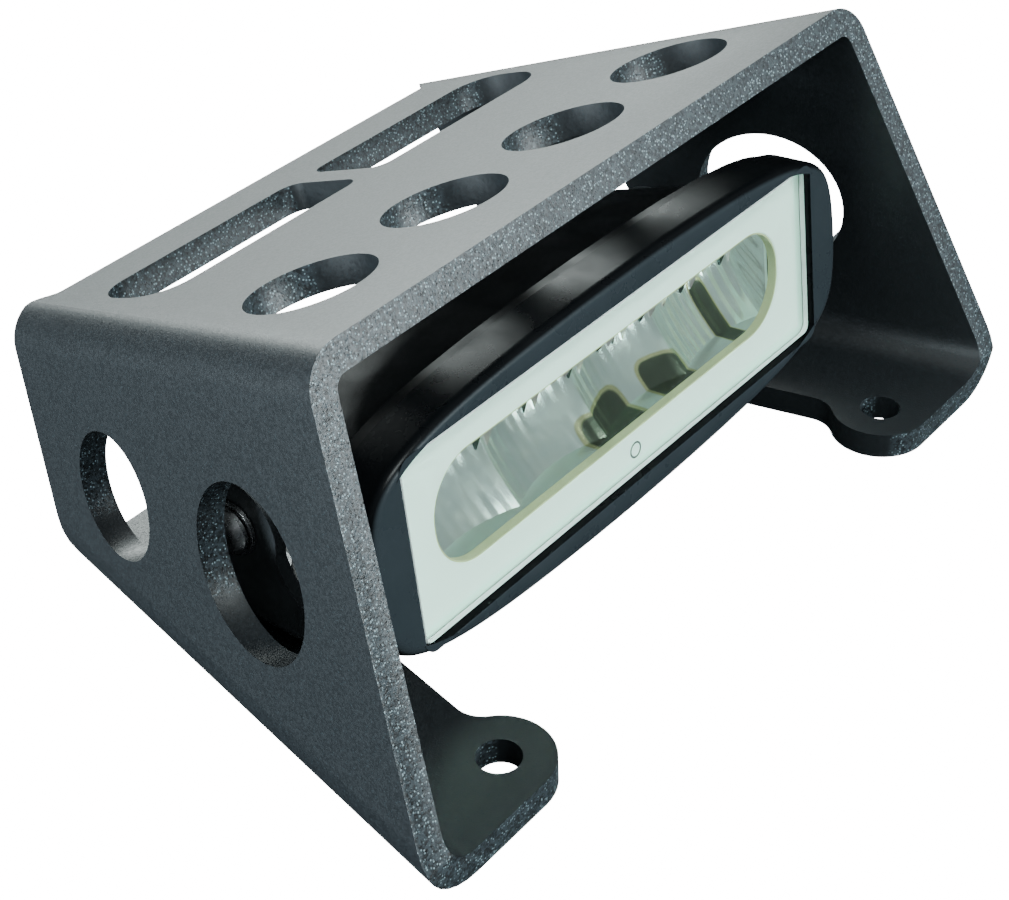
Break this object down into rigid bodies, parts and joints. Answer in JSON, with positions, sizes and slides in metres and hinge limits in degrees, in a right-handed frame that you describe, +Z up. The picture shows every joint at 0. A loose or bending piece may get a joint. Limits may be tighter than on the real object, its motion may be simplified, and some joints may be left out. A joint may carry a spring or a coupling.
{
  "type": "fog light",
  "caption": "Slim rectangular LED fog lamp with a black bezel, tilting on a U-bracket inside a bent plate guard with round and slotted openings and inward feet.",
  "frame": {"origin": "on the mounting plane midway across and midway along the overall box", "axes": "+X across the lamp, -Y the way the lamp faces, +Z up from the underside of the feet"},
  "size_m": [0.2056, 0.1386, 0.0933],
  "materials": {
    "guard_powder_coat": "fine textured black powder coat, slightly sparkling",
    "bracket_satin_black": "smooth satin black paint",
    "housing_satin_black": "satin black coating on an aluminium casting",
    "bezel_gloss_black": "moulded gloss black",
    "clear_glass": "clear, polished",
    "mint_print": "pale mint border, smooth",
    "black_rubber": "matt",
    "reflector_mirror": "bright vacuum-coated mirror",
    "board_green": "green solder resist",
    "led_phosphor": "yellow phosphor",
    "capacitor_can": "drawn can",
    "ferrite_black": "dull moulded ferrite",
    "black_nylon": "matt moulded nylon",
    "zinc_steel": "bright zinc plate"
  },
  "bodies": {
    "base": {"guard": "guard_powder_coat", "lamp_bracket": "bracket_satin_black", "bracket_bolt_left": "zinc_steel", "bracket_bolt_right": "zinc_steel", "bracket_washer_left": "zinc_steel", "bracket_washer_right": "zinc_steel"},
    "lamp": {"bezel": "bezel_gloss_black", "bezel_screw_1": "zinc_steel", "bezel_screw_2": "zinc_steel", "bezel_screw_3": "zinc_steel", "bezel_screw_4": "zinc_steel", "breather_vent": "black_nylon", "cable_gland": "black_nylon", "driver_board": "board_green", "driver_capacitor": "capacitor_can", "driver_inductor": "ferrite_black", "gland_nut": "black_nylon", "housing": "housing_satin_black", "led_1": "led_phosphor", "led_2": "led_phosphor", "led_3": "led_phosphor", "led_4": "led_phosphor", "led_board": "board_green", "lens": "clear_glass", "lens_border": "mint_print", "lens_seal": "black_rubber", "pivot_bolt_left": "zinc_steel", "pivot_bolt_right": "zinc_steel", "pivot_spacer_left": "black_nylon", "pivot_spacer_right": "black_nylon", "pivot_washer_left": "zinc_steel", "pivot_washer_right": "zinc_steel", "rear_cover": "housing_satin_black", "rear_cover_gasket": "black_rubber", "rear_cover_screw_1": "zinc_steel", "rear_cover_screw_2": "zinc_steel", "rear_cover_screw_3": "zinc_steel", "rear_cover_screw_4": "zinc_steel", "reflector": "reflector_mirror"}
  },
  "joints": [
    {"name": "lamp_tilt", "type": "hinge", "parent": "base", "child": "lamp", "pos_m": [0, 0.00526, 0.0315], "axis": [1, 0, 0], "range_deg": [-15, 10]}
  ]
}
